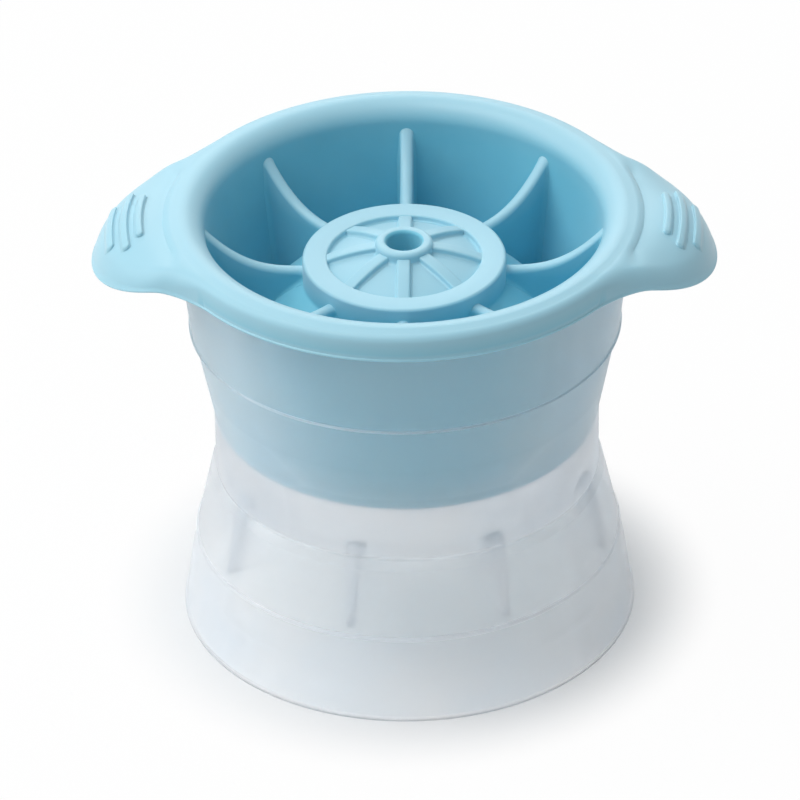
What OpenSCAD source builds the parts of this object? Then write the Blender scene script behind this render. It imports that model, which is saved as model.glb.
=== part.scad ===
// Ice ball mould in two pieces: a soft cap with a filling spout plugs into a frosted base.
// Each piece holds one half of the ball, and the cap lifts straight off.
// The origin is on the axis of the ball, at the underside of the foot. The ears lie along X.

/* [Ball] */
// Diameter of the ball that the two halves enclose
ball_d = 60; // [56:1:64]
// Height of the bowl's underside above the foot
foot_gap = 8.2; // [5:0.1:14]

/* [Fits] */
// Gap all round between the cap's sleeve and the cup
sleeve_gap = 0.3; // [0.2:0.05:0.6]
// Gap below the cap's flange and lower edge when the cap is seated
seat_gap = 0.3; // [0.2:0.05:0.6]

/* [Cap] */
// Wall of the dome over the ball
dome_wall = 4.4; // [3:0.1:5.5]
// Wall of the sleeve round the recess
sleeve_wall = 2.2; // [1.6:0.1:2.8]
// Width of the sleeve's lower edge, which faces the ledge
edge_w = 3; // [2.4:0.1:4]

/* [Rim] */
// Radius of the recess inside the lip
recess_r = 35.5; // [34:0.1:40]
// Radius of the round section of the lip
lip_r = 3.2; // [2.4:0.1:4]
// Height of the lip's middle above the flange's underside
lip_up = 1.9; // [1.2:0.1:2.6]
// Width of the flange outside the lip
flange_w = 1.15; // [0.8:0.05:3]
// Height of the flange's crest above its underside
flange_t = 4.25; // [3.4:0.05:5]
// How far the flange's side leans in towards its crest
flange_lean = 0.15; // [0:0.05:0.5]
// Depth of the groove between the flange's crest and the lip
groove_d = 0.95; // [0.4:0.05:1.2]
// Height of the flange's underside above the top of the dome
flange_rise = 3.2; // [2.4:0.1:7]

/* [Ears] */
// How far the ears reach out from the lip
ear_reach = 13.9; // [11:0.1:18]
// Radius of the round outline of an ear
ear_r = 21.5; // [18:0.1:26]
// Radius of the arch of an ear from side to side
arch_r = 55; // [46:0.5:70]
// Angle at which that arch slopes down to the tip
arch_tilt = 26.5; // [22:0.5:32]
// How far the tip of an ear lies below the flange's underside
ear_drop = 5.3; // [4:0.1:7]
// Thickness of an ear at its tip
tip_t = 1.4; // [0.8:0.1:2]
// How far the top of an ear lies below the flange's crest
crown_drop = 1.05; // [0.3:0.05:1.5]
// Radius of the crown over which the top of an ear falls to its tip
crown_r = 12.9; // [12:0.1:15]
// Fillet between the outline of an ear and the flange
ear_fillet = 20; // [8:1:28]
// Width of the grip ridges
ridge_w = 1.3; // [0.8:0.1:1.8]
// Height of the grip ridges
ridge_h = 0.7; // [0.3:0.1:1.2]
// Distance from one grip ridge to the next
ridge_pitch = 2.65; // [2:0.05:3.2]
// Distance of the last grip ridge from the tip of the ear
ridge_inset = 3.4; // [2.5:0.1:5]
// Length of the middle grip ridge
ridge_long = 18.6; // [12:0.2:22]
// Length of the two outer grip ridges
ridge_short = 13.8; // [8:0.2:16]

/* [Hub] */
// Outer radius of the hub ring
hub_r = 17.8; // [15:0.1:21]
// Width of the hub ring
hub_w = 3.9; // [2.5:0.1:5.5]
// How far the hub ring's top lies below the top of the dome
hub_drop = 2; // [0.5:0.1:3]
// Outer radius of the filling spout
spout_r = 5.2; // [4.6:0.1:7]
// Height of the spout above the top of the dome
spout_h = 2; // [1:0.1:5]
// Diameter of the filling hole
fill_d = 6.3; // [4:0.1:8]
// Width of the spokes between spout and hub ring
spoke_w = 2.4; // [1.6:0.1:3.2]
// Height of the spokes above the dome
spoke_h = 0.9; // [0.5:0.1:1.4]

/* [Ribs] */
// Number of ribs and of spokes
rib_count = 8; // [6:1:10]
// Thickness of the ribs
rib_t = 2.3; // [1.6:0.1:3]
// How far the ribs meet the hub below the ring's top
rib_hub_drop = 2.4; // [1:0.1:3]
// How far the ribs meet the sleeve below the lip's crest
rib_wall_drop = 5.3; // [3.4:0.1:7]

/* [Base] */
// Wall of the cup and of the skirt
cup_wall = 1.5; // [1.2:0.1:2]
// Wall of the bowl under the ball
bowl_wall = 1.8; // [1.4:0.1:2.4]
// Room between the sleeve and the cup's mouth
mouth_gap = 1.2; // [0.8:0.05:2.5]
// Room between the sleeve and the cup at the fill line
fill_gap = 1.4; // [0.6:0.05:1.8]
// Height of the fill line above the parting plane
fill_up = 19.9; // [16:0.1:24]
// Step in the cup's outside at the fill line
fill_step = 0.35; // [0.2:0.05:0.6]
// Height of the straight waist above the parting plane
waist_up = 2.5; // [1:0.1:5]
// Height of the solid collar that joins the bowl to the skirt
collar_h = 8.7; // [6:0.1:9.5]
// Distance of the shoulder below the parting plane
shoulder_down = 9.7; // [9:0.1:11]
// Height of the sloping shoulder
shoulder_h = 1.7; // [1:0.1:3]
// How far the shoulder stands out from the waist
shoulder_w = 0.9; // [0.4:0.1:1.6]

/* [Foot] */
// Outer radius of the foot
foot_r = 41; // [39:0.1:46]
// Height of the steep band above the foot
foot_band = 10; // [6:0.5:14]
// How far the steep band leans in
foot_lean = 1.2; // [0.4:0.1:1.8]
// Number of fins under the bowl
fin_count = 8; // [6:1:10]
// Thickness of the fins
fin_t = 2.2; // [1.4:0.1:3]
// Height of the lower edge of the fins above the foot
fin_z = 16.5; // [15:0.1:20]
// Turn of the fins from the line of the ears
fin_turn = 29.3; // [0:0.1:45]

/* [Hidden] */
$fn = 96;
// How far a cutting shape runs past the face that it cuts
past = 1;

ball_r = ball_d / 2;
bowl_r = ball_r + bowl_wall;
dome_r = ball_r + dome_wall;
parting_z = foot_gap + bowl_r;
dome_top_z = parting_z + dome_r;

// Cap
edge_z = parting_z + seat_gap;
waist_top_z = parting_z + waist_up;
flange_z = dome_top_z + flange_rise;
flange_top_z = flange_z + flange_t;
sleeve_low_r = ball_r + edge_w;
sleeve_top_r = recess_r + sleeve_wall;
lip_mid_r = recess_r + lip_r;
lip_mid_z = flange_z + lip_up;
lip_top_z = lip_mid_z + lip_r;
crease_r = recess_r + 2 * lip_r;
flange_r = crease_r + flange_w;
crest_r = flange_r - flange_lean;
groove_z = flange_top_z - groove_d;

// Ears
tip_x = crease_r + ear_reach;
tip_z = flange_z - ear_drop;
ear_x = tip_x - ear_r;
// The underside slopes from the flange's lower edge to the tip
under_slope = ear_drop / (tip_x - flange_r);
// The crown is an arc that falls from the top of the ear to its tip
ear_top_z = flange_top_z - crown_drop;
crown_z = ear_top_z - crown_r;
crown_x = tip_x - sqrt(crown_r ^ 2 - (tip_z + tip_t - crown_z) ^ 2);
// Middle of the fillet circle that touches both the flange and the ear from outside
fillet_flange_d = flange_r + ear_fillet;
fillet_ear_d = ear_r + ear_fillet;
fillet_x = (fillet_flange_d ^ 2 - fillet_ear_d ^ 2 + ear_x ^ 2) / (2 * ear_x);
fillet_y = sqrt(fillet_flange_d ^ 2 - fillet_x ^ 2);
// Height at which the grip ridges start, inside the ear
ridge_low_z = tip_z + ear_drop / 2;

// Hub and ribs
hub_top_z = dome_top_z - hub_drop;
hub_hole_r = hub_r - hub_w;
hub_mid_r = hub_r - hub_w / 2;
spout_top_z = dome_top_z + spout_h;
rib_hub_z = hub_top_z - rib_hub_drop;
rib_wall_z = lip_top_z - rib_wall_drop;
// The ribs' upper edge is an arc that is level at the hub
rib_rise = rib_wall_z - rib_hub_z;
rib_arc_r = ((recess_r - hub_r) ^ 2 + rib_rise ^ 2) / (2 * rib_rise);

// Base
cup_low_r = sleeve_low_r + sleeve_gap;
cup_top_z = flange_z - seat_gap;
cup_mouth_r = sleeve_top_r + mouth_gap;
waist_r = cup_low_r + cup_wall;
fill_z = parting_z + fill_up;
fill_share = (fill_z - waist_top_z) / (flange_z - waist_top_z);
fill_r = sleeve_low_r + (sleeve_top_r - sleeve_low_r) * fill_share + fill_gap + cup_wall;
collar_z = parting_z - collar_h;
shoulder_z = parting_z - shoulder_down;
shoulder_low_z = shoulder_z - shoulder_h;
shoulder_r = waist_r + shoulder_w;
band_r = foot_r - foot_lean;

// Copies the children around the axis
module around(count, turn = 0) {
    for (i = [0 : count - 1])
        rotate([0, 0, turn + i * 360 / count])
            children();
}

// Places the children on both sides, mirrored
module both_sides() {
    for (side = [0, 1])
        mirror([side, 0, 0])
            children();
}

// Extrudes an outline drawn in X and Z along Y, from the middle
module along_y(length) {
    rotate([90, 0, 0])
        linear_extrude(length, center = true)
            children();
}

module ball(r) {
    translate([0, 0, parting_z])
        sphere(r);
}

// Cap: the sleeve, straight at the waist and then wider, and the round lip
module sleeve() {
    rotate_extrude() {
        polygon([
            [sleeve_low_r, edge_z],
            [sleeve_low_r, waist_top_z],
            [sleeve_top_r, flange_z],
            [sleeve_top_r, lip_mid_z],
            [recess_r, lip_mid_z],
            [sleeve_low_r - sleeve_wall, edge_z],
        ]);
        intersection() {
            translate([lip_mid_r, lip_mid_z])
                circle(lip_r);
            translate([recess_r, flange_z])
                square(2 * lip_r);
        }
    }
}

// Cap: the flange, whose crest stands outside the lip with a groove between them
module flange() {
    rotate_extrude()
        polygon([
            [recess_r + sleeve_wall / 2, flange_z],
            [flange_r, flange_z],
            [crest_r, flange_top_z],
            [crease_r, groove_z],
            [recess_r + sleeve_wall / 2, groove_z],
        ]);
}

// Outline of one ear from the middle of the lip, with a fillet on both sides to the flange
module ear_outline() {
    difference() {
        union() {
            translate([ear_x, 0])
                circle(ear_r);
            polygon([
                [0, 0],
                [fillet_x, -fillet_y],
                [ear_x, 0],
                [fillet_x, fillet_y],
            ]);
        }
        for (side = [-1, 1])
            translate([fillet_x, side * fillet_y])
                circle(ear_fillet);
        circle(lip_mid_r);
    }
}

// Body under the top of an ear, raised by height. It arches from side to side about an axis
// that slopes down towards the tip, and its crown rounds off to the tip.
module ear_crown(height) {
    translate([crown_x, 0, crown_z])
        rotate([0, 90 + arch_tilt, 0])
            translate([arch_r - crown_r, 0, 0])
                rotate_extrude() {
                    translate([0, -2 * ear_r])
                        square([arch_r + height, 2 * ear_r]);
                    square([arch_r - crown_r, crown_r]);
                    translate([arch_r - crown_r, 0])
                        circle(crown_r + height);
                }
}

// Section of the space between an ear's underside and its top, raised by height
module ear_section(height) {
    polygon([
        [0, flange_z],
        [flange_r, flange_z],
        [tip_x + past, tip_z - past * under_slope],
        [tip_x + past, ear_top_z + height],
        [0, ear_top_z + height],
    ]);
}

// Cap: one ear
module ear() {
    intersection() {
        translate([0, 0, tip_z])
            linear_extrude(flange_top_z - tip_z)
                ear_outline();
        along_y(4 * ear_r)
            ear_section(0);
        ear_crown(0);
    }
}

// Cap: three grip ridges on one ear, round the axis of the mould
module grip_ridges() {
    for (i = [0 : 2]) {
        ridge_mid_r = tip_x - ridge_inset - i * ridge_pitch;
        ridge_len = i == 1 ? ridge_long : ridge_short;
        intersection() {
            translate([0, 0, ridge_low_z])
                difference() {
                    cylinder(ear_drop + flange_t, r = ridge_mid_r + ridge_w / 2);
                    translate([0, 0, -past])
                        cylinder(ear_drop + flange_t + 2 * past, r = ridge_mid_r - ridge_w / 2);
                }
            along_y(ridge_len)
                ear_section(ridge_h);
            ear_crown(ridge_h);
        }
    }
}

// Cap: the ribs, as plates that are trimmed to the recess afterwards
module ribs() {
    around(rib_count)
        along_y(rib_t)
            difference() {
                translate([hub_mid_r, parting_z])
                    square([recess_r + sleeve_wall - hub_mid_r, rib_hub_z + rib_arc_r - parting_z]);
                translate([hub_r, rib_hub_z + rib_arc_r])
                    circle(rib_arc_r);
            }
}

// Cap: the ring round the spout
module hub_ring() {
    translate([0, 0, parting_z])
        difference() {
            cylinder(hub_top_z - parting_z, r = hub_r);
            translate([0, 0, -past])
                cylinder(hub_top_z - parting_z + 2 * past, r = hub_hole_r);
        }
}

// Cap: the spokes, which follow the dome from the spout to the hub ring
module spokes() {
    intersection() {
        ball(dome_r + spoke_h);
        translate([0, 0, hub_top_z - hub_w])
            around(rib_count)
                translate([0, -spoke_w / 2, 0])
                    cube([hub_mid_r, spoke_w, dome_r]);
    }
}

module spout() {
    translate([0, 0, parting_z])
        cylinder(spout_top_z - parting_z, r = spout_r);
}

// Space inside the sleeve, out to the middle of its wall
module sleeve_inside() {
    rotate_extrude()
        polygon([
            [0, edge_z],
            [sleeve_low_r - sleeve_wall / 2, edge_z],
            [recess_r + sleeve_wall / 2, lip_mid_z],
            [0, lip_mid_z],
        ]);
}

module silicone_cap() {
    color("#a9dcea")
        difference() {
            union() {
                sleeve();
                flange();
                both_sides() {
                    ear();
                    grip_ridges();
                }
                intersection() {
                    union() {
                        ball(dome_r);
                        ribs();
                        hub_ring();
                        spokes();
                        spout();
                    }
                    sleeve_inside();
                }
            }
            ball(ball_r);
            translate([0, 0, parting_z])
                cylinder(spout_top_z - parting_z + past, d = fill_d);
        }
}

// Base: solid outline, from the foot to the cup's mouth
module base_outside() {
    rotate_extrude()
        polygon([
            [0, 0],
            [foot_r, 0],
            [band_r, foot_band],
            [shoulder_r, shoulder_low_z],
            [waist_r, shoulder_z],
            [waist_r, waist_top_z],
            [fill_r, fill_z],
            [fill_r + fill_step, fill_z],
            [cup_mouth_r + cup_wall, cup_top_z],
            [0, cup_top_z],
        ]);
}

// Base: the space in the cup that the sleeve plugs into
module cup_space() {
    rotate_extrude()
        polygon([
            [0, parting_z],
            [cup_low_r, parting_z],
            [cup_low_r, waist_top_z],
            [fill_r - cup_wall, fill_z],
            [cup_mouth_r, cup_top_z],
            [cup_mouth_r, cup_top_z + past],
            [0, cup_top_z + past],
        ]);
}

// Base: the fins between the bowl and the skirt, trimmed to the space under the bowl
module fins() {
    around(fin_count, fin_turn)
        translate([0, -fin_t / 2, fin_z])
            cube([foot_r, fin_t, parting_z - fin_z]);
}

// Base: the space under the bowl, open at the foot
module foot_space() {
    difference() {
        rotate_extrude()
            polygon([
                [0, -past],
                [foot_r - cup_wall, -past],
                [foot_r - cup_wall, 0],
                [band_r - cup_wall, foot_band],
                [shoulder_r - cup_wall, shoulder_low_z],
                [waist_r - cup_wall, shoulder_z],
                [waist_r - cup_wall, collar_z],
                [0, collar_z],
            ]);
        ball(bowl_r);
        fins();
    }
}

module base_cup() {
    color("#e3e9ee")
        difference() {
            base_outside();
            cup_space();
            ball(ball_r);
            foot_space();
        }
}

base_cup();
silicone_cap();
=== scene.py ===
import math

import bmesh
import bpy
import numpy as np
from mathutils import Matrix, Vector


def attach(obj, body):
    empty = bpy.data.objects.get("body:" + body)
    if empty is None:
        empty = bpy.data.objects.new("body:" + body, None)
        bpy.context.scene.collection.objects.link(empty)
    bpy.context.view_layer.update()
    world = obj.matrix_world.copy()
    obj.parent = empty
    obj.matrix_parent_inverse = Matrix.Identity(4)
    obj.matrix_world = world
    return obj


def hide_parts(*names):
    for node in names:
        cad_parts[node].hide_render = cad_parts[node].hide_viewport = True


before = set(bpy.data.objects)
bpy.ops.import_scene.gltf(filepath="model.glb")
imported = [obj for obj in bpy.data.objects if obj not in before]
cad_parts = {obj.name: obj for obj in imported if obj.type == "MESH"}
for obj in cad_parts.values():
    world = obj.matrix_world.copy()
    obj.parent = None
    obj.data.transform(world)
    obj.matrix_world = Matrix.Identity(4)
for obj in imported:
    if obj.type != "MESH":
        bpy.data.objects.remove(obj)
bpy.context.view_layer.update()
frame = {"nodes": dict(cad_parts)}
scene = bpy.context.scene
scene.view_settings.view_transform = "Standard"
scene.cycles.transparent_max_bounces = 32   # a look through the base crosses many skins
mm = 0.001
print("frame loaded:", ", ".join(frame["nodes"]))


# camera

shot = {
    "target": (0, 0, 40.74),   # mm, on the axis of the ball
    "azimuth": 1.3,            # degrees towards +X
    "elevation": 33.11,        # degrees above the table
    "distance": 1166.2,
    "lens": 289.87,
    "sensor": 36,
    "clip": (0.05, 20),        # m
    "roll": 0.94,
    "aim": (-1.204, 0.967),    # mm right of and above the target
}


def setCamera(view):
    tilt, roll, turn = (math.radians(view[key]) for key in ("elevation", "roll", "azimuth"))
    target = Vector(view["target"]) * mm
    side = Vector((math.cos(turn), math.sin(turn), 0))
    front = Vector((math.sin(turn), -math.cos(turn), 0))
    back = front * math.cos(tilt) + Vector((0, 0, math.sin(tilt)))
    up = Vector((0, 0, math.cos(tilt))) - front * math.sin(tilt)
    right = side * math.cos(roll) - up * math.sin(roll)
    above = side * math.sin(roll) + up * math.cos(roll)
    place = target + back * view["distance"] * mm
    aim = target + (right * view["aim"][0] + above * view["aim"][1]) * mm
    back = (place - aim).normalized()
    right = (right - back * right.dot(back)).normalized()
    above = back.cross(right)
    lens = bpy.data.cameras.new("productLens")
    lens.lens = view["lens"]
    lens.sensor_width = view["sensor"]
    lens.clip_start, lens.clip_end = view["clip"]
    camera = bpy.data.objects.new("productCamera", lens)
    camera.matrix_world = Matrix((
        (right.x, above.x, back.x, place.x),
        (right.y, above.y, back.y, place.y),
        (right.z, above.z, back.z, place.z),
        (0, 0, 0, 1),
    ))
    scene.collection.objects.link(camera)
    scene.camera = camera


setCamera(shot)
print("camera set")


# mesh helpers

def makePiece(name, points, faces):
    mesh = bpy.data.meshes.new(name)
    mesh.from_pydata([tuple(p) for p in np.asarray(points) * mm], [], faces)
    tidy = bmesh.new()
    tidy.from_mesh(mesh)
    bmesh.ops.remove_doubles(tidy, verts=tidy.verts, dist=1e-7)
    bmesh.ops.recalc_face_normals(tidy, faces=tidy.faces)
    tidy.to_mesh(mesh)
    tidy.free()
    mesh.shade_smooth()
    piece = bpy.data.objects.new(name, mesh)
    scene.collection.objects.link(piece)
    return piece


def gridFaces(rows, columns, closeRows=False, closeColumns=False):
    faces = []
    for i in range(rows if closeRows else rows - 1):
        for j in range(columns if closeColumns else columns - 1):
            a, b = i * columns, (i + 1) % rows * columns
            k = (j + 1) % columns
            faces.append((a + j, a + k, b + k, b + j))
    return faces


# corners are (radius, height, fillet); the path comes back with each fillet as a short arc
def roundCorners(corners, steps=5):
    path, last = [], len(corners) - 1
    for i, (r, z, fillet) in enumerate(corners):
        here = np.array((r, z), float)
        if fillet <= 0 or i in (0, last):
            path.append(here)
            continue
        before = np.array(corners[i - 1][:2], float) - here
        after = np.array(corners[i + 1][:2], float) - here
        before, after = before / np.linalg.norm(before), after / np.linalg.norm(after)
        half = math.acos(np.clip(before @ after, -1, 1)) / 2
        middle = here + (before + after) / np.linalg.norm(before + after) * fillet / math.sin(half)
        start, end = here + before * fillet / math.tan(half), here + after * fillet / math.tan(half)
        a = math.atan2(*(start - middle)[::-1])
        turn = (math.atan2(*(end - middle)[::-1]) - a + math.pi) % (2 * math.pi) - math.pi
        for k in range(steps + 1):
            angle = a + turn * k / steps
            path.append(middle + fillet * np.array((math.cos(angle), math.sin(angle))))
    return np.array(path)


def sphereHeight(radius, middle, r):
    return middle + np.sqrt(np.maximum(radius * radius - np.square(r), 0))


# silicone cap: lip, flange, ears, sleeve, dome, hub ring and spout in one skin

capForm = {
    "columns": 360,
    "ball": 30, "parting": 40, "edge": 40.3, "dome": 33.5, "dish": 34.3,
    "recess": 35.5, "lip": 4, "lipHeight": 78.69, "lipStart": 1.4,   # radians on the lip's roll
    "flange": 42.84, "flangeUnder": 77.6, "flangeCrest": 42.7, "crestHeight": 82.25, "crestRound": 1.55,
    "sleeveLow": 33, "sleeveTop": 37.7, "waistTop": 42.5, "sleeveWall": 2.2, "underFlat": 2.2,
    "hub": 18.2, "hubHole": 13.8, "hubTop": 72.6,
    "spout": 5.2, "spoutTop": 75.9, "fill": 3.15,
}
earForm = {
    "count": 2, "outline": 21.5, "tip": 55.6, "fillet": 27, "blend": 5,
    "top": 81.6, "crownStart": 44.2, "crown": 12.9, "rise": 0.7,
    "edge": 2.5, "edgeRoot": 3.9, "edgeRound": 2.4,
    "rootStart": 40, "rootEnd": 47, "rootGrow": 0.6, "rootSoft": 1.5, "rootFade": 7,
    "underStart": 43.05, "underSlope": 0.416, "underSoft": 1.5,
    "beadOut": 0.2, "beadHigh": 0.42,
}


def recessRadius(z):
    c = capForm
    low = c["sleeveLow"] - c["sleeveWall"]
    return low + (c["recess"] - low) * (z - c["edge"]) / (c["lipHeight"] - c["edge"])


# where the recess wall runs into the dome
def recessBottom():
    c = capForm
    z = np.linspace(c["edge"], c["lipHeight"], 4000)
    inside = sphereHeight(c["dome"], c["parting"], recessRadius(z)) > z
    low = z[inside][-1]
    return recessRadius(low), low


def capSkin():
    c = capForm
    middle = c["recess"] + c["lip"]
    corners = []
    for angle in np.linspace(c["lipStart"], math.pi, 17):
        r = middle + c["lip"] * math.cos(angle)
        corners.append((r, c["lipHeight"] + c["lip"] * math.sin(angle), 0))
    for z in (76, 72, 68, 64):
        corners.append((recessRadius(z), z, 0))
    bottomR, bottomZ = recessBottom()
    corners.append((bottomR, bottomZ, 1.0))
    domeZ = lambda r: float(sphereHeight(c["dome"], c["parting"], r))
    dishZ = lambda r: float(sphereHeight(c["dish"], c["parting"], r))
    for r in np.linspace(29, c["hub"] + 1.5, 8):
        corners.append((r, domeZ(r), 0))
    corners += [
        (c["hub"], domeZ(c["hub"]), 0.8),
        (c["hub"], c["hubTop"], 0.55),
        (c["hubHole"], c["hubTop"], 0.35),
        (c["hubHole"], dishZ(c["hubHole"]), 0.4),
    ]
    for r in np.linspace(c["hubHole"] - 1.2, c["spout"] + 1.2, 6):
        corners.append((r, dishZ(r), 0))
    corners += [
        (c["spout"], dishZ(c["spout"]), 0.6),
        (c["spout"], c["spoutTop"], 0.8),
        (c["fill"], c["spoutTop"], 0.7),
    ]
    ballZ = lambda r: float(sphereHeight(c["ball"], c["parting"], r))
    corners.append((c["fill"], ballZ(c["fill"]), 0.3))
    for lean in np.linspace(0.2, 1.5, 18):
        r = c["ball"] * math.sin(lean)
        corners.append((r, ballZ(r), 0))
    corners += [
        (c["ball"], c["edge"], 0.25),
        (c["sleeveLow"], c["edge"], 0.5),
        (c["sleeveLow"], c["waistTop"], 3),
        (c["sleeveTop"], c["flangeUnder"], 0.8),
        (c["sleeveTop"] + c["underFlat"], c["flangeUnder"], 0),
    ]
    return roundCorners(corners)


# distance of the rim's outline from the axis, for directions in radians
def rimOutline(angles):
    e, flange = earForm, capForm["flange"]
    centre = e["tip"] - e["outline"]
    toFlange, toEar = flange + e["fillet"], e["outline"] + e["fillet"]
    fx = (toFlange ** 2 - toEar ** 2 + centre ** 2) / (2 * centre)
    fy = math.sqrt(toFlange ** 2 - fx ** 2)
    earEnd = math.atan2(fy * e["outline"] / toEar, centre + (fx - centre) * e["outline"] / toEar)
    flangeStart = math.atan2(fy, fx)
    fold = np.abs((angles + math.pi / 2) % math.pi - math.pi / 2)
    s, k = np.sin(fold), np.cos(fold)
    ear = centre * k + np.sqrt(np.maximum(e["outline"] ** 2 - (centre * s) ** 2, 0))
    across = fx * s - fy * k
    fillet = fx * k + fy * s - np.sqrt(np.maximum(e["fillet"] ** 2 - across ** 2, 0))
    return np.where(fold < earEnd, ear, np.where(fold < flangeStart, fillet, flange))


# how far a point in plan lies inside the outline of flange and ears
def planDepth(x, y):
    e = earForm
    ear = e["outline"] - np.hypot(np.abs(x) - e["tip"] + e["outline"], y)
    flange = capForm["flange"] - np.hypot(x, y)
    soft = np.maximum(e["blend"] - np.abs(ear - flange), 0)
    return np.maximum(ear, flange) + soft * soft / (4 * e["blend"])


# lower edge of flange and ears at a distance from the middle along X
def rimUnder(x):
    e = earForm
    out, soft = np.abs(x) - e["underStart"], e["underSoft"]
    return capForm["flangeUnder"] - e["underSlope"] * (out + np.sqrt(out * out + soft * soft)) / 2


# side of the flange, nearly upright, with a rounded crest that grows where an ear begins
def flangeSide(r, soft):
    c = capForm
    fillet, end = c["crestRound"] + soft, c["flangeCrest"] + soft
    turn = np.clip((r - end + fillet) / fillet, 0, 1)
    crest = c["crestHeight"] - fillet * (1 - np.sqrt(1 - turn * turn))
    down = np.clip((r - end) / (c["flange"] - c["flangeCrest"]), 0, 3)
    return crest + (c["flangeUnder"] - crest) * down


# top of the ears, crowned along X and arched across, against the flange's side
def rimTop(r, angles):
    c, e = capForm, earForm
    x, y, rim = np.abs(r * np.cos(angles)), r * np.sin(angles), rimOutline(angles)
    depth = planDepth(x, y) - planDepth(rim * np.cos(angles), rim * np.sin(angles))
    past = np.clip(x - e["crownStart"], 0, e["crown"])
    crown = e["top"] - e["crown"] + np.sqrt(e["crown"] ** 2 - past * past)
    low = rimUnder(x)
    grow = np.clip((x - e["rootStart"]) / (e["rootEnd"] - e["rootStart"]), 0, 1)
    edge = low + e["edgeRoot"] + (e["edge"] - e["edgeRoot"]) * grow * grow * (3 - 2 * grow)
    out = x - e["tip"] + e["outline"]
    across = y * y / np.maximum(e["outline"] ** 2 - out * out, 1e-3)
    ear = edge + np.maximum(crown - edge, 0) * (1 - np.clip(across, 0, 1))
    ear = low + (ear - low) * np.sqrt(1 - (1 - np.clip(depth / e["edgeRound"], 0, 1)) ** 2)
    beyond = rim - c["flange"]
    share = np.clip(beyond / e["rootGrow"], 0, 1)
    ear = low + (ear - low) * share * share * (3 - 2 * share)
    fade = np.clip((beyond - e["rootSoft"]) / e["rootFade"], 0, 1)
    side = flangeSide(r, beyond * (1 - fade * fade * (3 - 2 * fade)))
    above = ear - side
    return side + (above + np.sqrt(above * above + e["rise"] ** 2)) / 2


def makeCap():
    c, e = capForm, earForm
    angles = np.arange(c["columns"]) * 2 * math.pi / c["columns"]
    rim, flat = rimOutline(angles), np.ones(c["columns"])
    rows = [(r * flat, z * flat) for r, z in capSkin()]
    start = c["sleeveTop"] + c["underFlat"]
    for share in (0.15, 0.35, 0.55, 0.75, 0.9, 0.98):
        r = start + share * (rim - start)
        rows.append((r, rimUnder(r * np.cos(angles))))
    # fine bead round the lower edge
    low = rimUnder(rim * np.cos(angles))
    for out, up in ((0.6, 0.02), (0.95, 0.25), (1, 0.5), (0.8, 0.8), (0.25, 1)):
        rows.append((rim + out * e["beadOut"], low + up * e["beadHigh"]))
    # over the ears to the flange, and up its side to the lip
    foot = np.minimum(rim, c["flange"] + 0.1)
    for k in range(3, 19):
        r = rim - (rim - foot) * (1 - math.cos(k / 18 * math.pi / 2))
        rows.append((r, np.maximum(rimTop(r, angles), low + e["beadHigh"])))
    inner = c["flangeCrest"] - c["crestRound"]
    for share in (0.01, 0.03, 0.05, 0.08, 0.12, 0.17, 0.23, 0.3, 0.38, 0.48, 0.6, 0.74, 0.88, 1):
        r = foot - share * (foot - inner)
        rows.append((r, np.maximum(rimTop(r, angles), low + e["beadHigh"])))
    points = np.array([np.stack((r * np.cos(angles), r * np.sin(angles), z), 1) for r, z in rows])
    faces = gridFaces(len(rows), c["columns"], closeRows=True, closeColumns=True)
    return makePiece("capSkin", points.reshape(-1, 3), faces)


# one rib, along +X, with fillets to the dome, the hub and the recess wall

ribForm = {
    "count": 8, "thickness": 2.3, "hubHeight": 70.4, "wallHeight": 78.1, "bend": 2.9,
    "topRound": 1.05, "footFillet": 0.9, "endFillet": 1.0, "flareFade": 4, "sunk": 0.9,
    "intoHub": 0.5, "wallLift": 2,   # the foot of the rib stays this far above the recess's bottom
}


def ribCrest(r):
    c, f = capForm, ribForm
    along = max(r - c["hub"], 0) / (c["recess"] - c["hub"])
    return f["hubHeight"] + (f["wallHeight"] - f["hubHeight"]) * along ** f["bend"]


def endFlare(gap, fillet):
    near = np.clip(fillet - np.maximum(gap, 0), 0, fillet)
    return fillet - np.sqrt(fillet * fillet - near * near)


def makeRib():
    c, f = capForm, ribForm
    half, top, foot, end = f["thickness"] / 2, f["topRound"], f["footFillet"], f["endFillet"]
    ease = (1 - np.cos(np.linspace(0, math.pi, 46))) / 2
    start = c["hub"] - f["intoHub"]
    bottomR, bottomZ = recessBottom()
    lowest = bottomZ + f["wallLift"]
    points = []
    for along in ease:
        r = start + along * (recessRadius(f["wallHeight"]) + f["sunk"] - start)
        crest = ribCrest(r)
        domeZ = float(sphereHeight(c["dome"], c["parting"], min(r, c["dome"])))
        floor = max(domeZ, lowest) if r < bottomR else lowest
        tall = crest - floor
        section = [(half + foot, -0.35)]
        for k in range(6):
            a = k / 5 * math.pi / 2
            section.append((half + foot * (1 - math.sin(a)), foot * (1 - math.cos(a))))
        for share in (0.2, 0.4, 0.6, 0.8):
            section.append((half, foot + (tall - foot - top) * share))
        for k in range(6):
            a = k / 5 * math.pi / 2
            section.append((half - top + top * math.cos(a), tall - top + top * math.sin(a)))
        section.append((0, tall))
        side = []
        for d, h in section:
            z = floor + h
            here = start + along * (recessRadius(z) + f["sunk"] - start)
            deep = min(max((crest - z) / f["flareFade"], 0), 1)
            flare = (endFlare(recessRadius(z) - here, end) + endFlare(here - c["hub"], end)) * deep
            side.append((here, d + flare * min(1, d / half), z))
        points.append(side + [(x, -y, z) for x, y, z in side[-2::-1]])
    points = np.array(points)
    return makePiece("recessRibs", points.reshape(-1, 3), gridFaces(points.shape[0], points.shape[1]))


# one spoke on the dish inside the hub ring

spokeForm = {"count": 8, "width": 2.4, "height": 1.05, "topRound": 0.35, "footFillet": 0.4}


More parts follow.
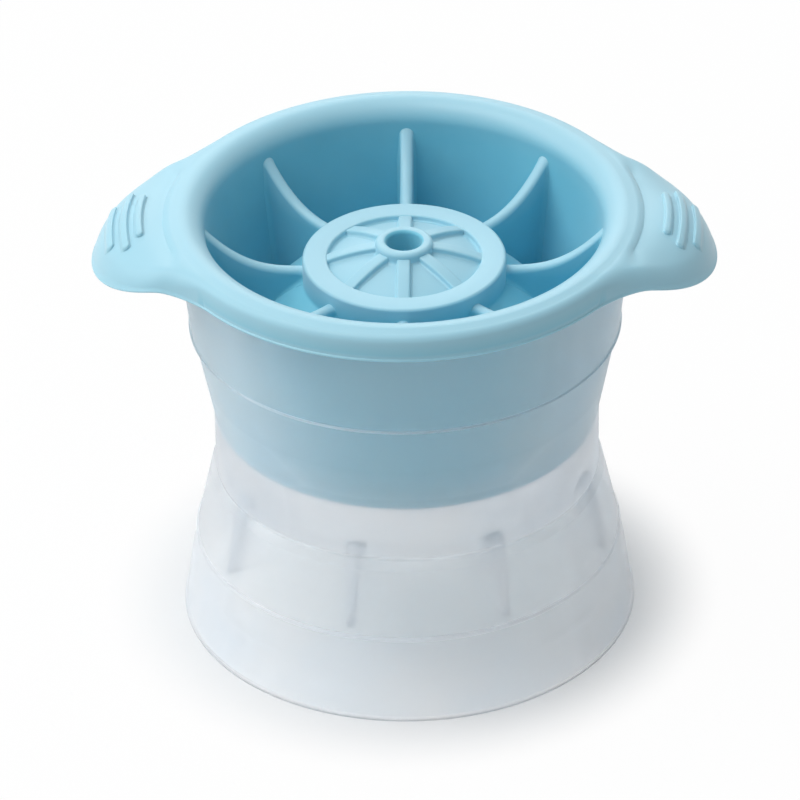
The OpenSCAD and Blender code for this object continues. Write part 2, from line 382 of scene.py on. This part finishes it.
def makeSpoke():
    c, f = capForm, spokeForm
    half, top, foot = f["width"] / 2, f["topRound"], f["footFillet"]
    section = [(half + foot, -0.2)]
    for k in range(5):
        a = k / 4 * math.pi / 2
        section.append((half + foot * (1 - math.sin(a)), foot * (1 - math.cos(a))))
    for k in range(5):
        a = k / 4 * math.pi / 2
        section.append((half - top + top * math.cos(a), f["height"] - top + top * math.sin(a)))
    section.append((half * 0.4, f["height"]))
    section += [(-d, h) for d, h in section[::-1]]
    points = []
    for r in np.linspace(c["spout"] - 0.4, c["hubHole"] + 0.5, 16):
        for d, h in section:
            points.append((r, d, float(sphereHeight(c["dish"], c["parting"], math.hypot(r, d))) + h))
    return makePiece("hubSpokes", points, gridFaces(16, len(section)))


# grip ridges of one ear, on circles round the axis of the mould

ridgeForm = {
    "radii": (47.1, 49.75, 52.4), "lengths": (13.8, 18.6, 13.8),
    "width": 1.3, "height": 0.7, "topRound": 0.4, "footFillet": 0.3,
}


def makeRidges():
    f = ridgeForm
    half, top, foot = f["width"] / 2, f["topRound"], f["footFillet"]
    points, faces = [], []
    for radius, length in zip(f["radii"], f["lengths"]):
        section = [(1 + foot / half, -0.25)]
        for k in range(4):
            a = k / 3 * math.pi / 2
            section.append((1 + foot / half * (1 - math.sin(a)), foot * (1 - math.cos(a))))
        for k in range(5):
            a = k / 4 * math.pi / 2
            section.append((1 - top / half * (1 - math.cos(a)), f["height"] - top + top * math.sin(a)))
        section += [(-d, h) for d, h in section[::-1]]
        along = np.concatenate((
            -length / 2 + half * (1 - np.cos(np.linspace(0.02, math.pi / 2, 8))),
            np.linspace(-length / 2 + half, length / 2 - half, 17)[1:-1],
            length / 2 - half * (1 - np.cos(np.linspace(math.pi / 2, 0.02, 8))),
        ))
        first = len(points)
        for s in along:
            left = min(length / 2 - abs(s), half)
            wide = math.sqrt(max(half * half - (half - left) ** 2, 0))
            lift = math.sqrt(max(1 - (1 - left / half) ** 2, 0))
            angle = s / radius
            for d, h in section:
                r = radius + d * wide
                z = float(rimTop(np.array(r), np.array(angle)))
                points.append((r * math.cos(angle), r * math.sin(angle), z + h * (lift if h > 0 else 1)))
        faces += [tuple(first + v for v in face) for face in gridFaces(len(along), len(section))]
    return makePiece("gripRidges", points, faces)


# base: profile of the cup, bowl and skirt, turned round the axis

baseForm = {
    "segments": 288, "merge": 0.01,
    "foot": 41, "band": 39.8, "bandHeight": 10, "shoulder": 35.7, "shoulderLow": 28.6, "shoulderTop": 30.3,
    "waist": 34.8, "waistTop": 42.5, "fillHeight": 59.9, "fill": 38.23, "fillStep": 0.35,
    "mouth": 40.4, "mouthTop": 77.3, "wall": 1.5, "ledge": 40, "cupLow": 33.3,
    "ball": 30, "bowl": 31.8, "collar": 31.3, "sill": 16, "sillStep": 0.3, "bead": 0.36,
}


def baseProfile():
    b = baseForm
    wall, middle = b["wall"], b["ledge"]
    skirtLean = (b["band"] - b["shoulder"]) / (b["shoulderLow"] - b["bandHeight"])
    sillR = b["shoulder"] + skirtLean * (b["shoulderLow"] - b["sill"]) - wall
    corners = [(0, middle - b["bowl"], 0)]
    leanEnd = math.acos((middle - b["collar"]) / b["bowl"])
    for lean in np.linspace(0, leanEnd, 26)[1:-1]:
        corners.append((b["bowl"] * math.sin(lean), middle - b["bowl"] * math.cos(lean), 0))
    corners += [
        (b["bowl"] * math.sin(leanEnd), b["collar"], 0.5),
        (b["waist"] - wall, b["collar"], 0.5),
        (b["waist"] - wall, b["shoulderTop"], 0.5),
        (b["shoulder"] - wall, b["shoulderLow"], 0.8),
        (sillR - b["sillStep"], b["sill"] + 0.3, 0.1),
        (sillR, b["sill"], 0.1),
        (b["band"] - wall, b["bandHeight"], 8),
        (b["foot"] - wall, 0, 0.3),
        (b["foot"] + b["bead"], 0, 0.2),
        (b["foot"] + b["bead"], 0.6, 0.2),
        (b["foot"], 0.9, 0.2),
        (b["band"], b["bandHeight"], 14),
        (sillR + wall, b["sill"] - 0.45, 0.06),
        (sillR + wall + b["bead"], b["sill"] - 0.25, 0.06),
        (sillR + wall, b["sill"] + 0.2, 0.06),
        (b["shoulder"], b["shoulderLow"], 0.8),
        (b["waist"], b["shoulderTop"], 0.8),
        (b["waist"], b["waistTop"], 12),
        (b["fill"], b["fillHeight"], 0.1),
        (b["fill"] + b["fillStep"] + b["bead"], b["fillHeight"] + 0.1, 0.06),
        (b["fill"] + b["fillStep"], b["fillHeight"] + 0.4, 0.06),
        (b["mouth"], b["mouthTop"], 0.35),
        (b["mouth"] - wall, b["mouthTop"], 0.35),
        (b["fill"] - wall, b["fillHeight"], 4),
        (b["cupLow"], b["waistTop"], 8),
        (b["cupLow"], middle, 0.25),
        (b["ball"], middle, 0.25),
    ]
    for lean in np.linspace(math.pi / 2, 0, 28)[1:-1]:
        corners.append((b["ball"] * math.sin(lean), middle - b["ball"] * math.cos(lean), 0))
    corners.append((0, middle - b["ball"], 0))
    path = roundCorners(corners, steps=6)
    # rows at which the milk changes
    look = frostLook
    rows = [b["collar"] - look["windowTo"], b["collar"], look["ledgeTop"], look["veilTo"]]
    for level in (b["sill"], b["fillHeight"], b["mouthTop"]):
        rows += [level + step for step in (-0.8, -0.6, -0.4, -0.2, 0.2, 0.4, 0.6)]
    return cutAtHeights(path, rows)


def cutAtHeights(path, heights):
    cut = [path[0]]
    for start, end in zip(path[:-1], path[1:]):
        span = end[1] - start[1]
        shares = [(h - start[1]) / span for h in heights if (h - start[1]) * (h - end[1]) < 0]
        cut += [start + (end - start) * share for share in sorted(shares)] + [end]
    return np.array(cut)


finForm = {"count": 8, "turn": 29.3, "thickTop": 3.0, "thickLow": 1.5, "low": 16.6, "sunk": 0.2, "bar": 3.6}


def skirtInside(z):
    b = baseForm
    lean = (b["band"] - b["shoulder"]) / (b["shoulderLow"] - b["bandHeight"])
    if z > b["shoulderTop"]:
        return b["waist"] - b["wall"]
    return min(b["shoulder"] + lean * (b["shoulderLow"] - z), b["foot"]) - b["wall"]


def makeFin():
    b, f = baseForm, finForm
    points = []
    for z in np.linspace(f["low"], b["collar"] + f["sunk"], 14):
        inner = math.sqrt(b["bowl"] ** 2 - (b["ledge"] - z) ** 2) - f["sunk"]
        outer = skirtInside(z) + f["sunk"] - (b["sillStep"] if z > b["sill"] else 0)
        half = f["thickLow"] + (f["thickTop"] - f["thickLow"]) * (z - f["low"]) / (b["collar"] - f["low"])
        half /= 2
        steps = (inner, outer - f["bar"] - 0.5, outer - f["bar"], outer - 0.9, outer - 0.45, outer)
        steps = np.maximum(steps, inner)
        points.append([(r, half, z) for r in steps] + [(r, -half, z) for r in steps[::-1]])
    points = np.array(points)
    rows, columns = points.shape[:2]
    faces = gridFaces(rows, columns, closeColumns=True)
    faces += [tuple(range(columns)), tuple((rows - 1) * columns + j for j in range(columns))]
    return makePiece("skirtFins", points.reshape(-1, 3), faces)


# geometry nodes: copies round the axis, and a profile turned into a shell

def newTree(name, inputs):
    tree = bpy.data.node_groups.new(name, "GeometryNodeTree")
    tree.is_modifier = True
    tree.interface.new_socket("Geometry", in_out="INPUT", socket_type="NodeSocketGeometry")
    for label, kind in inputs:
        tree.interface.new_socket(label, in_out="INPUT", socket_type=kind)
    tree.interface.new_socket("Geometry", in_out="OUTPUT", socket_type="NodeSocketGeometry")
    return tree, tree.nodes.new("NodeGroupInput"), tree.nodes.new("NodeGroupOutput")


def mathNode(tree, operation, first, second):
    node = tree.nodes.new("ShaderNodeMath")
    node.operation = operation
    for socket, value in zip(node.inputs, (first, second)):
        if isinstance(value, (int, float)):
            socket.default_value = value
        else:
            tree.links.new(value, socket)
    return node.outputs[0]


def finishTree(tree, geometry, source, output):
    real = tree.nodes.new("GeometryNodeRealizeInstances")
    paint = tree.nodes.new("GeometryNodeSetMaterial")
    tree.links.new(geometry, real.inputs[0])
    tree.links.new(real.outputs[0], paint.inputs["Geometry"])
    tree.links.new(source.outputs["Material"], paint.inputs["Material"])
    tree.links.new(paint.outputs[0], output.inputs[0])


def copiesRoundTree():
    tree, source, output = newTree("copiesRound", [
        ("Count", "NodeSocketInt"), ("First Angle", "NodeSocketFloat"), ("Material", "NodeSocketMaterial"),
    ])
    spots = tree.nodes.new("GeometryNodePoints")
    tree.links.new(source.outputs["Count"], spots.inputs["Count"])
    index = tree.nodes.new("GeometryNodeInputIndex")
    step = mathNode(tree, "DIVIDE", 2 * math.pi, source.outputs["Count"])
    angle = mathNode(tree, "MULTIPLY", index.outputs[0], step)
    angle = mathNode(tree, "ADD", angle, source.outputs["First Angle"])
    turn = tree.nodes.new("ShaderNodeCombineXYZ")
    tree.links.new(angle, turn.inputs["Z"])
    copies = tree.nodes.new("GeometryNodeInstanceOnPoints")
    tree.links.new(spots.outputs[0], copies.inputs["Points"])
    tree.links.new(source.outputs["Geometry"], copies.inputs["Instance"])
    tree.links.new(turn.outputs[0], copies.inputs["Rotation"])
    finishTree(tree, copies.outputs[0], source, output)
    return tree


# the points of the input mesh are the profile, in order, in X and Z
def turnedShellTree():
    tree, source, output = newTree("turnedShell", [
        ("Segments", "NodeSocketInt"), ("Merge", "NodeSocketFloat"), ("Material", "NodeSocketMaterial"),
    ])
    size = tree.nodes.new("GeometryNodeAttributeDomainSize")
    tree.links.new(source.outputs["Geometry"], size.inputs[0])
    around = mathNode(tree, "ADD", source.outputs["Segments"], 1)
    grid = tree.nodes.new("GeometryNodeMeshGrid")
    tree.links.new(size.outputs["Point Count"], grid.inputs["Vertices X"])
    tree.links.new(around, grid.inputs["Vertices Y"])
    index = tree.nodes.new("GeometryNodeInputIndex")
    row = mathNode(tree, "DIVIDE", mathNode(tree, "ADD", index.outputs[0], 0.5), around)
    row = mathNode(tree, "FLOOR", row, 0)
    column = mathNode(tree, "SUBTRACT", index.outputs[0], mathNode(tree, "MULTIPLY", row, around))
    angle = mathNode(tree, "MULTIPLY", column, 2 * math.pi)
    angle = mathNode(tree, "DIVIDE", angle, source.outputs["Segments"])
    sample = tree.nodes.new("GeometryNodeSampleIndex")
    sample.data_type = "FLOAT_VECTOR"
    sample.clamp = True
    position = tree.nodes.new("GeometryNodeInputPosition")
    tree.links.new(source.outputs["Geometry"], sample.inputs["Geometry"])
    tree.links.new(position.outputs[0], sample.inputs["Value"])
    tree.links.new(row, sample.inputs["Index"])
    split = tree.nodes.new("ShaderNodeSeparateXYZ")
    tree.links.new(sample.outputs[0], split.inputs[0])
    place = tree.nodes.new("ShaderNodeCombineXYZ")
    for axis, operation in (("X", "COSINE"), ("Y", "SINE")):
        share = mathNode(tree, operation, angle, 0)
        tree.links.new(mathNode(tree, "MULTIPLY", split.outputs["X"], share), place.inputs[axis])
    tree.links.new(split.outputs["Z"], place.inputs["Z"])
    move = tree.nodes.new("GeometryNodeSetPosition")
    tree.links.new(grid.outputs["Mesh"], move.inputs["Geometry"])
    tree.links.new(place.outputs[0], move.inputs["Position"])
    merge = tree.nodes.new("GeometryNodeMergeByDistance")
    tree.links.new(move.outputs[0], merge.inputs["Geometry"])
    tree.links.new(source.outputs["Merge"], merge.inputs["Distance"])
    finishTree(tree, merge.outputs[0], source, output)
    return tree


def bakeTree(piece, tree, values):
    modifier = piece.modifiers.new(tree.name, "NODES")
    modifier.node_group = tree
    for socket in tree.interface.items_tree:
        if socket.in_out == "INPUT" and socket.name in values:
            modifier[socket.identifier] = values[socket.name]
    view = bpy.context.evaluated_depsgraph_get()
    baked = bpy.data.meshes.new_from_object(piece.evaluated_get(view), depsgraph=view)
    piece.modifiers.remove(modifier)
    old, piece.data = piece.data, baked
    baked.name = piece.name
    bpy.data.meshes.remove(old)
    outward = bmesh.new()
    outward.from_mesh(baked)
    bmesh.ops.recalc_face_normals(outward, faces=outward.faces)
    outward.to_mesh(baked)
    outward.free()
    baked.shade_smooth()
    return piece


# materials

def inputSocket(node, name, value):
    node.inputs[name].default_value = value


# soft clouds and a fine grain, shared by the silicone and the frosted plastic
def mouldedSkinGroup():
    group = bpy.data.node_groups.new("mouldedSkin", "ShaderNodeTree")
    group.interface.new_socket("Cloud Scale", in_out="INPUT", socket_type="NodeSocketFloat")
    group.interface.new_socket("Grain Scale", in_out="INPUT", socket_type="NodeSocketFloat")
    group.interface.new_socket("Cloud", in_out="OUTPUT", socket_type="NodeSocketFloat")
    group.interface.new_socket("Grain", in_out="OUTPUT", socket_type="NodeSocketFloat")
    source, output = group.nodes.new("NodeGroupInput"), group.nodes.new("NodeGroupOutput")
    where = group.nodes.new("ShaderNodeTexCoord")
    for label, detail in (("Cloud", 3), ("Grain", 2)):
        noise = group.nodes.new("ShaderNodeTexNoise")
        inputSocket(noise, "Detail", detail)
        group.links.new(where.outputs["Object"], noise.inputs["Vector"])
        group.links.new(source.outputs[label + " Scale"], noise.inputs["Scale"])
        group.links.new(noise.outputs["Fac"], output.inputs[label])
    return group


def newMaterial(name, group, cloudScale, grainScale):
    material = bpy.data.materials.new(name)
    material.use_nodes = True
    tree = material.node_tree
    shader = tree.nodes["Principled BSDF"]
    skin = tree.nodes.new("ShaderNodeGroup")
    skin.node_tree = group
    inputSocket(skin, "Cloud Scale", cloudScale)
    inputSocket(skin, "Grain Scale", grainScale)
    return material, tree, shader, skin


def toneRamp(tree, skin, first, second, low=0.35, high=0.65):
    ramp = tree.nodes.new("ShaderNodeValToRGB")
    ramp.color_ramp.elements[0].position, ramp.color_ramp.elements[1].position = low, high
    ramp.color_ramp.elements[0].color, ramp.color_ramp.elements[1].color = (*first, 1), (*second, 1)
    tree.links.new(skin.outputs["Cloud"], ramp.inputs["Fac"])
    return ramp.outputs["Color"]


def linkRoughness(tree, skin, shader, low, high):
    spread = tree.nodes.new("ShaderNodeMapRange")
    inputSocket(spread, "To Min", low)
    inputSocket(spread, "To Max", high)
    tree.links.new(skin.outputs["Cloud"], spread.inputs["Value"])
    tree.links.new(spread.outputs["Result"], shader.inputs["Roughness"])


def linkGrain(tree, skin, shader, strength, distance):
    bump = tree.nodes.new("ShaderNodeBump")
    inputSocket(bump, "Strength", strength)
    inputSocket(bump, "Distance", distance * mm)
    tree.links.new(skin.outputs["Grain"], bump.inputs["Height"])
    tree.links.new(bump.outputs["Normal"], shader.inputs["Normal"])


siliconeLook = {
    "deep": (0.175, 0.56, 0.71), "pale": (0.20, 0.59, 0.735),
    "paintedSheen": (0.37, 0.66, 0.775),   # painted sheen: a paler, whiter colour on the outside and the tops, standing in for the light that falls on them
    "rough": (0.37, 0.45), "cloudScale": 60, "grainScale": 2600, "grain": 0.12, "grainDepth": 0.05,
    "subsurface": 0.12, "scatter": (1.0, 1.6, 1.8), "scatterDepth": 0.8,   # mm
    "ior": 1.41, "sheen": 0.25, "sheenRough": 0.5,
    # where the painted sheen lies: its share on the sleeve under the cup, the bead's height, and the heights
    # over which it comes in; the recess walls and dome keep the deeper colour, as painted shade
    "sleeve": 0.6, "bead": 0.6, "side": (76, 5), "lipIn": (0.5, 3.5), "hubIn": (2.6, 2),
    "ribIn": 1.1, "ribLead": 1.1,
}
frostLook = {
    "cool": (0.86, 0.91, 0.96), "warm": (0.92, 0.93, 0.945),
    "rough": (0.28, 0.38), "cloudScale": 45, "grainScale": 3200, "grain": 0.1, "grainDepth": 0.05,
    "clear": 0.58, "ior": 1.2,
    # share of white in the wall when seen square on, in the cup and in the thicker skirt
    "veilCup": 0.42, "veilSkirt": 0.6, "veilFrom": 37, "veilTo": 50,
    # share of white at a glancing angle, and where that begins and ends
    "veilEdge": 0.97, "glance": (0.25, 0.56),
    # the milk on the outer skin, by height: foot, clear windows between the fins, thick ledge
    "footMilk": 1.1, "window": 0.66, "windowFrom": 0.6, "windowTo": 0.8, "ledgeMilk": 1.4, "ledgeTop": 42,
    # the fine white lines, painted highlights at the fill step and the sill: offset from the fill height and
    # the sill, and half their width
    "fillLine": (0.2, 0.35), "sillLine": (0.1, 0.45),
    # painted highlight: the mouth's top edge and the fine lines are whiter, the inner skins clearer
    "edge": 3.0, "inside": 0.3, "bowl": 0.12, "finEdge": 2.0, "finSide": 1.0,
    "inShadow": 0.12,
}


def makeSilicone(group):
    look = siliconeLook
    material, tree, shader, skin = newMaterial("blueSilicone", group, look["cloudScale"], look["grainScale"])
    tone = toneRamp(tree, skin, look["deep"], look["pale"])
    # painted sheen and shade: the paler colour is mixed in by the painted mark, lighter where the tops and
    # outside are lit, deeper in the recess
    mark = tree.nodes.new("ShaderNodeAttribute")
    mark.attribute_name = "paintedSheen"
    paintedSheenMix = tree.nodes.new("ShaderNodeMix")
    paintedSheenMix.data_type = "RGBA"
    inputSocket(paintedSheenMix, 7, (*look["paintedSheen"], 1))
    tree.links.new(mark.outputs["Fac"], paintedSheenMix.inputs[0])
    tree.links.new(tone, paintedSheenMix.inputs[6])
    tree.links.new(paintedSheenMix.outputs[2], shader.inputs["Base Color"])
    linkRoughness(tree, skin, shader, *look["rough"])
    linkGrain(tree, skin, shader, look["grain"], look["grainDepth"])
    inputSocket(shader, "Subsurface Weight", look["subsurface"])
    inputSocket(shader, "Subsurface Radius", look["scatter"])
    inputSocket(shader, "Subsurface Scale", look["scatterDepth"] * mm)
    inputSocket(shader, "IOR", look["ior"])
    inputSocket(shader, "Sheen Weight", look["sheen"])
    inputSocket(shader, "Sheen Roughness", look["sheenRough"])
    return material


def makeFrost(group):
    look = frostLook
    material, tree, shader, skin = newMaterial("frostedPlastic", group, look["cloudScale"], look["grainScale"])
    tree.links.new(toneRamp(tree, skin, look["cool"], look["warm"]), shader.inputs["Base Color"])
    linkRoughness(tree, skin, shader, *look["rough"])
    linkGrain(tree, skin, shader, look["grain"], look["grainDepth"])
    inputSocket(shader, "Transmission Weight", look["clear"])
    inputSocket(shader, "IOR", look["ior"])
    # a thin milky wall: clear when seen square on, white at a glancing angle
    where = tree.nodes.new("ShaderNodeTexCoord")
    height = tree.nodes.new("ShaderNodeSeparateXYZ")
    tree.links.new(where.outputs["Object"], height.inputs[0])
    square = tree.nodes.new("ShaderNodeMapRange")
    square.interpolation_type = "SMOOTHSTEP"
    for name, value in (
        ("From Min", look["veilFrom"] * mm), ("From Max", look["veilTo"] * mm),
        ("To Min", look["veilSkirt"]), ("To Max", look["veilCup"]),
    ):
        inputSocket(square, name, value)
    tree.links.new(height.outputs["Z"], square.inputs["Value"])
    veil = square.outputs["Result"]
    glance = tree.nodes.new("ShaderNodeLayerWeight")
    inputSocket(glance, "Blend", 0.5)
    curve = tree.nodes.new("ShaderNodeMapRange")
    curve.interpolation_type = "SMOOTHSTEP"
    inputSocket(curve, "From Min", look["glance"][0])
    inputSocket(curve, "From Max", look["glance"][1])
    tree.links.new(glance.outputs["Facing"], curve.inputs["Value"])
    rest = mathNode(tree, "SUBTRACT", look["veilEdge"], veil)
    veil = mathNode(tree, "ADD", mathNode(tree, "MULTIPLY", curve.outputs["Result"], rest), veil)
    milk = tree.nodes.new("ShaderNodeAttribute")
    milk.attribute_name = "milk"
    veil = mathNode(tree, "MULTIPLY", veil, milk.outputs["Fac"])
    # light passes through the wall more freely than the eye does
    path = tree.nodes.new("ShaderNodeLightPath")
    shade = mathNode(tree, "MULTIPLY", path.outputs["Is Shadow Ray"], 1 - look["inShadow"])
    veil = mathNode(tree, "MULTIPLY", veil, mathNode(tree, "SUBTRACT", 1, shade))
    tree.links.new(mathNode(tree, "MINIMUM", veil, 1), shader.inputs["Alpha"])
    return material


def paintMark(piece, name, rule):
    mark = piece.data.attributes.new(name, "FLOAT", "POINT")
    for vertex, value in zip(piece.data.vertices, mark.data):
        x, y, z = vertex.co / mm
        value.value = rule(math.hypot(x, y), z)


def rise(height, over):
    return float(np.clip(height / over, 0, 1))


# painted sheen: 1 on the lit outside, the flange's bead and the tops of lip and hub, a share on the sleeve
# under the cup, 0 in the shaded recess and dome
def capPaintedSheen(r, z):
    c, look = capForm, siliconeLook
    if r > c["flange"] + 0.3:
        return 1
    if r > recessRadius(z) + c["sleeveWall"] / 2 and z < c["flangeUnder"]:
        return look["sleeve"]
    if r > c["recess"] + c["lip"]:
        return 1 if z < c["flangeUnder"] + look["bead"] else rise(z - look["side"][0], look["side"][1])
    if r > c["recess"] - 1:
        return rise(z - c["lipHeight"] + look["lipIn"][0], look["lipIn"][1])
    if c["fill"] + 0.3 < r < c["hub"] + 0.5:
        return rise(z - c["hubTop"] + look["hubIn"][0], look["hubIn"][1])
    return 0


# painted sheen along the lit crest of each rib, none down its shaded sides
def ribPaintedSheen(r, z):
    look = siliconeLook
    return float(np.clip((z - ribCrest(r)) / look["ribIn"] + look["ribLead"], 0, 1))


def shellMilk(r, z):
    b, look = baseForm, frostLook
    levels = ("bandHeight", "shoulderLow", "shoulderTop", "waistTop", "fillHeight", "mouthTop")
    heights = [0] + [b[level] for level in levels]
    radii = (b["foot"], b["band"], b["shoulder"], b["waist"], b["waist"], b["fill"], b["mouth"])
    outer = r > np.interp(z, heights, radii) - b["wall"] / 2
    # painted highlight: the mouth's top edge and thin bands at the fill step and the sill are made opaque
    # white
    if z > b["mouthTop"] - 0.35:
        return look["edge"]
    if outer:
        fillLine = abs(z - b["fillHeight"] - look["fillLine"][0]) / look["fillLine"][1]
        sillLine = abs(z - b["sill"] + look["sillLine"][0]) / look["sillLine"][1]
        if min(fillLine, sillLine) < 1:
            return look["edge"]
        zones = (
            (b["sill"], look["footMilk"]), (b["sill"] + look["windowFrom"], look["window"]),
            (b["collar"] - look["windowTo"], look["window"]), (b["collar"], look["ledgeMilk"]),
            (look["ledgeTop"], look["ledgeMilk"]), (look["veilTo"], 1),
        )
        return float(np.interp(z, *zip(*zones)))
    return look["bowl" if z < b["collar"] + 0.6 and r < skirtInside(z) - 0.3 else "inside"]


# the fins are milky next to the skirt and clear where they thin out to the bowl
def finMilk(r, z):
    deep = skirtInside(z) - r
    return frostLook["finEdge" if deep < 0.6 else "finSide" if deep < finForm["bar"] else "bowl"]


skinGroup = mouldedSkinGroup()
silicone, frost = makeSilicone(skinGroup), makeFrost(skinGroup)
print("materials made")


# pieces

copiesRound, turnedShell = copiesRoundTree(), turnedShellTree()

capPieces = [makeCap()]
capPieces[0].data.materials.append(silicone)
for piece, count in (
    (makeRib(), ribForm["count"]),
    (makeSpoke(), spokeForm["count"]),
    (makeRidges(), earForm["count"]),
):
    values = {"Count": count, "First Angle": 0.0, "Material": silicone}
    capPieces.append(bakeTree(piece, copiesRound, values))
# the painted sheen mask goes on every cap piece
for piece, rule in zip(capPieces, (capPaintedSheen, ribPaintedSheen, capPaintedSheen, capPaintedSheen)):
    paintMark(piece, "paintedSheen", rule)
print("cap made:", ", ".join(p.name for p in capPieces))

profile = [(r, 0, z) for r, z in baseProfile()]
baseShell = makePiece("baseShell", profile, [])
bakeTree(baseShell, turnedShell, {
    "Segments": baseForm["segments"], "Merge": baseForm["merge"] * mm, "Material": frost,
})
paintMark(baseShell, "milk", shellMilk)
baseFins = bakeTree(makeFin(), copiesRound, {
    "Count": finForm["count"], "First Angle": math.radians(finForm["turn"]), "Material": frost,
})
paintMark(baseFins, "milk", finMilk)
print("base made:", baseShell.name, baseFins.name)

for piece in capPieces:
    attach(piece, "cap")
for piece in (baseShell, baseFins):
    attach(piece, "base")
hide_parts("silicone_cap")
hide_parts("base_cup")


# floor, world and lamps

studio = {
    "aim": (0, 0, 0.05), "floor": 0.84, "floorHalf": 3, "ambient": (0.33, 0.345, 0.36),
    "floorFade": (0.036, 0.058, 0.04, 0.97),   # m from the axis, and share of plain white
    "lamps": (
        # place in m, size in m, watts
        ((-0.32, -0.04, 0.95), 0.6, 4.5),
        ((-0.1, 0.95, 0.66), 0.7, 3.0),
        ((-0.7, 0.0, 0.5), 0.5, 2.0),
    ),
}


def seenDirectly(tree):
    path = tree.nodes.new("ShaderNodeLightPath")
    seen = mathNode(tree, "MAXIMUM", path.outputs["Is Camera Ray"], path.outputs["Is Glossy Ray"])
    return mathNode(tree, "MAXIMUM", seen, path.outputs["Is Transmission Ray"])


def makeFloor():
    half = studio["floorHalf"]
    corners = [(x * half, y * half, 0) for x, y in ((-1, -1), (1, -1), (1, 1), (-1, 1))]
    mesh = bpy.data.meshes.new("paleFloor")
    mesh.from_pydata(corners, [], [(0, 1, 2, 3)])
    floor = bpy.data.objects.new("paleFloor", mesh)
    scene.collection.objects.link(floor)
    material = bpy.data.materials.new("paleFloor")
    material.use_nodes = True
    tree = material.node_tree
    tree.nodes.clear()
    output = tree.nodes.new("ShaderNodeOutputMaterial")
    matt = tree.nodes.new("ShaderNodeBsdfDiffuse")
    inputSocket(matt, "Color", (studio["floor"],) * 3 + (1,))
    glow = tree.nodes.new("ShaderNodeEmission")
    mix = tree.nodes.new("ShaderNodeMixShader")
    # white where it is seen from afar, and plain under and close to the part, for the shadow
    where = tree.nodes.new("ShaderNodeTexCoord")
    reach = tree.nodes.new("ShaderNodeVectorMath")
    reach.operation = "LENGTH"
    tree.links.new(where.outputs["Object"], reach.inputs[0])
    fade = tree.nodes.new("ShaderNodeMapRange")
    fade.interpolation_type = "SMOOTHSTEP"
    for name, value in zip(("From Min", "From Max", "To Min", "To Max"), studio["floorFade"]):
        inputSocket(fade, name, value)
    tree.links.new(reach.outputs["Value"], fade.inputs["Value"])
    tree.links.new(mathNode(tree, "MULTIPLY", seenDirectly(tree), fade.outputs["Result"]), mix.inputs[0])
    tree.links.new(matt.outputs[0], mix.inputs[1])
    tree.links.new(glow.outputs[0], mix.inputs[2])
    tree.links.new(mix.outputs[0], output.inputs["Surface"])
    mesh.materials.append(material)


def makeWorld():
    world = bpy.data.worlds.new("whiteStudio")
    world.use_nodes = True
    tree = world.node_tree
    tint = tree.nodes.new("ShaderNodeMix")
    tint.data_type = "RGBA"
    inputSocket(tint, 6, (*studio["ambient"], 1))
    inputSocket(tint, 7, (1, 1, 1, 1))
    tree.links.new(seenDirectly(tree), tint.inputs[0])
    tree.links.new(tint.outputs[2], tree.nodes["Background"].inputs["Color"])
    scene.world = world


def makeLamps():
    aim = Vector(studio["aim"])
    for i, (place, size, watts) in enumerate(studio["lamps"]):
        lamp = bpy.data.lights.new(f"softLamp{i + 1}", "AREA")
        lamp.size, lamp.energy = size, watts
        holder = bpy.data.objects.new(lamp.name, lamp)
        holder.location = place
        holder.rotation_euler = (aim - Vector(place)).to_track_quat("-Z", "Y").to_euler()
        scene.collection.objects.link(holder)


makeFloor()
makeWorld()
makeLamps()
print("studio made")
